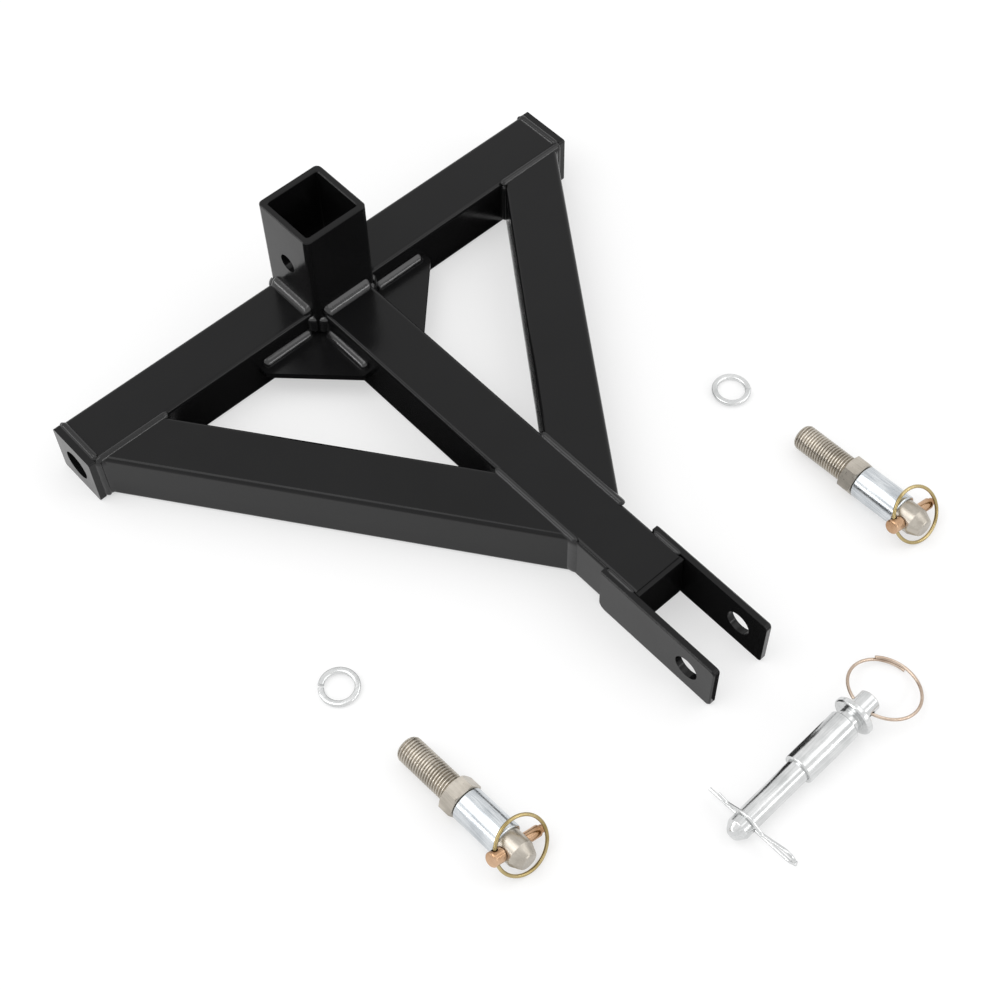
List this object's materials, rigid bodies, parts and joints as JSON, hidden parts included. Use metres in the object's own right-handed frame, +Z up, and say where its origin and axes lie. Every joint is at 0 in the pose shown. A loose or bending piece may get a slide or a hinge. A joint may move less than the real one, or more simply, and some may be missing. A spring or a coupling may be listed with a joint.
{
  "type": "three point receiver hitch",
  "caption": "Black welded tractor hitch frame with an upright receiver tube and a clevis mast, with its link pins, washers and clips laid beside it.",
  "frame": {"origin": "under the middle of the crossbar, on the face that the frame rests on", "axes": "X along the crossbar, +Z up out of the receiver's mouth, the mast runs to -Y"},
  "size_m": [0.518, 0.6524, 0.1395],
  "materials": {
    "black_paint": "gloss black paint",
    "nut_steel": "plain steel",
    "stud_nickel": "plated, warm grey",
    "bright_zinc": "bright zinc plate",
    "yellow_zinc": "yellow zinc plate",
    "ring_gold": "yellow zinc plated wire",
    "ring_copper": "pale plated wire",
    "silver_zinc": "zinc plate"
  },
  "bodies": {
    "frame_and_pins": {"receiver_tube": "black_paint", "left_crossbar": "black_paint", "right_crossbar": "black_paint", "mast_tube": "black_paint", "mast_cap": "black_paint", "left_brace": "black_paint", "right_brace": "black_paint", "left_end_plate": "black_paint", "right_end_plate": "black_paint", "left_weld_nut": "nut_steel", "right_weld_nut": "nut_steel", "left_gusset": "black_paint", "right_gusset": "black_paint", "left_clevis_ear": "black_paint", "right_clevis_ear": "black_paint", "receiver_welds": "black_paint", "gusset_welds": "black_paint", "brace_welds": "black_paint", "end_plate_welds": "black_paint", "clevis_welds": "black_paint", "left_lower_pin": "stud_nickel", "left_spring_washer": "silver_zinc", "right_lower_pin": "stud_nickel", "right_spring_washer": "silver_zinc", "top_link_pin": "silver_zinc", "hairpin_clip": "silver_zinc"},
    "left_bushing": {"left_pin_bushing": "bright_zinc"},
    "left_linch": {"left_linch_pin": "yellow_zinc"},
    "left_ring": {"left_linch_ring": "ring_gold"},
    "right_bushing": {"right_pin_bushing": "bright_zinc"},
    "right_linch": {"right_linch_pin": "yellow_zinc"},
    "right_ring": {"right_linch_ring": "ring_gold"},
    "sleeve": {"top_pin_sleeve": "bright_zinc"},
    "pull_ring": {"pull_ring": "ring_copper"}
  },
  "joints": [
    {"name": "left_bushing_turn", "type": "hinge", "parent": "frame_and_pins", "child": "left_bushing", "pos_m": [-0.2219, -0.3635, 0.01091], "axis": [0.0218, -0.9972, 0.0713], "continuous": true},
    {"name": "left_linch_slide", "type": "slide", "parent": "frame_and_pins", "child": "left_linch", "axis": [-0.9209, 0.0078, 0.3897], "range_m": [0, 0.0125]},
    {"name": "left_ring_swing", "type": "hinge", "parent": "left_linch", "child": "left_ring", "pos_m": [-0.23537, -0.47635, 0.02573], "axis": [-0.3224, -0.5771, -0.7503], "range_deg": [0, 100]},
    {"name": "right_bushing_turn", "type": "hinge", "parent": "frame_and_pins", "child": "right_bushing", "pos_m": [0.198, -0.3716, 0.01093], "axis": [-0.0105, -0.9979, 0.0633], "continuous": true},
    {"name": "right_linch_slide", "type": "slide", "parent": "frame_and_pins", "child": "right_linch", "axis": [-0.9634, 0.027, 0.2667], "range_m": [0, 0.0125]},
    {"name": "right_ring_swing", "type": "hinge", "parent": "right_linch", "child": "right_ring", "pos_m": [0.18015, -0.4842, 0.02271], "axis": [-0.2267, -0.6132, -0.7567], "range_deg": [0, 100]},
    {"name": "sleeve_turn", "type": "hinge", "parent": "frame_and_pins", "child": "sleeve", "pos_m": [0.0321, -0.5708, 0.01676], "axis": [-0.9981, -0.0157, -0.0593], "continuous": true},
    {"name": "pull_ring_swing", "type": "hinge", "parent": "frame_and_pins", "child": "pull_ring", "pos_m": [0.04478, -0.5706, 0.01751], "axis": [0.0157, -0.9999, 0], "range_deg": [0, 120]}
  ]
}
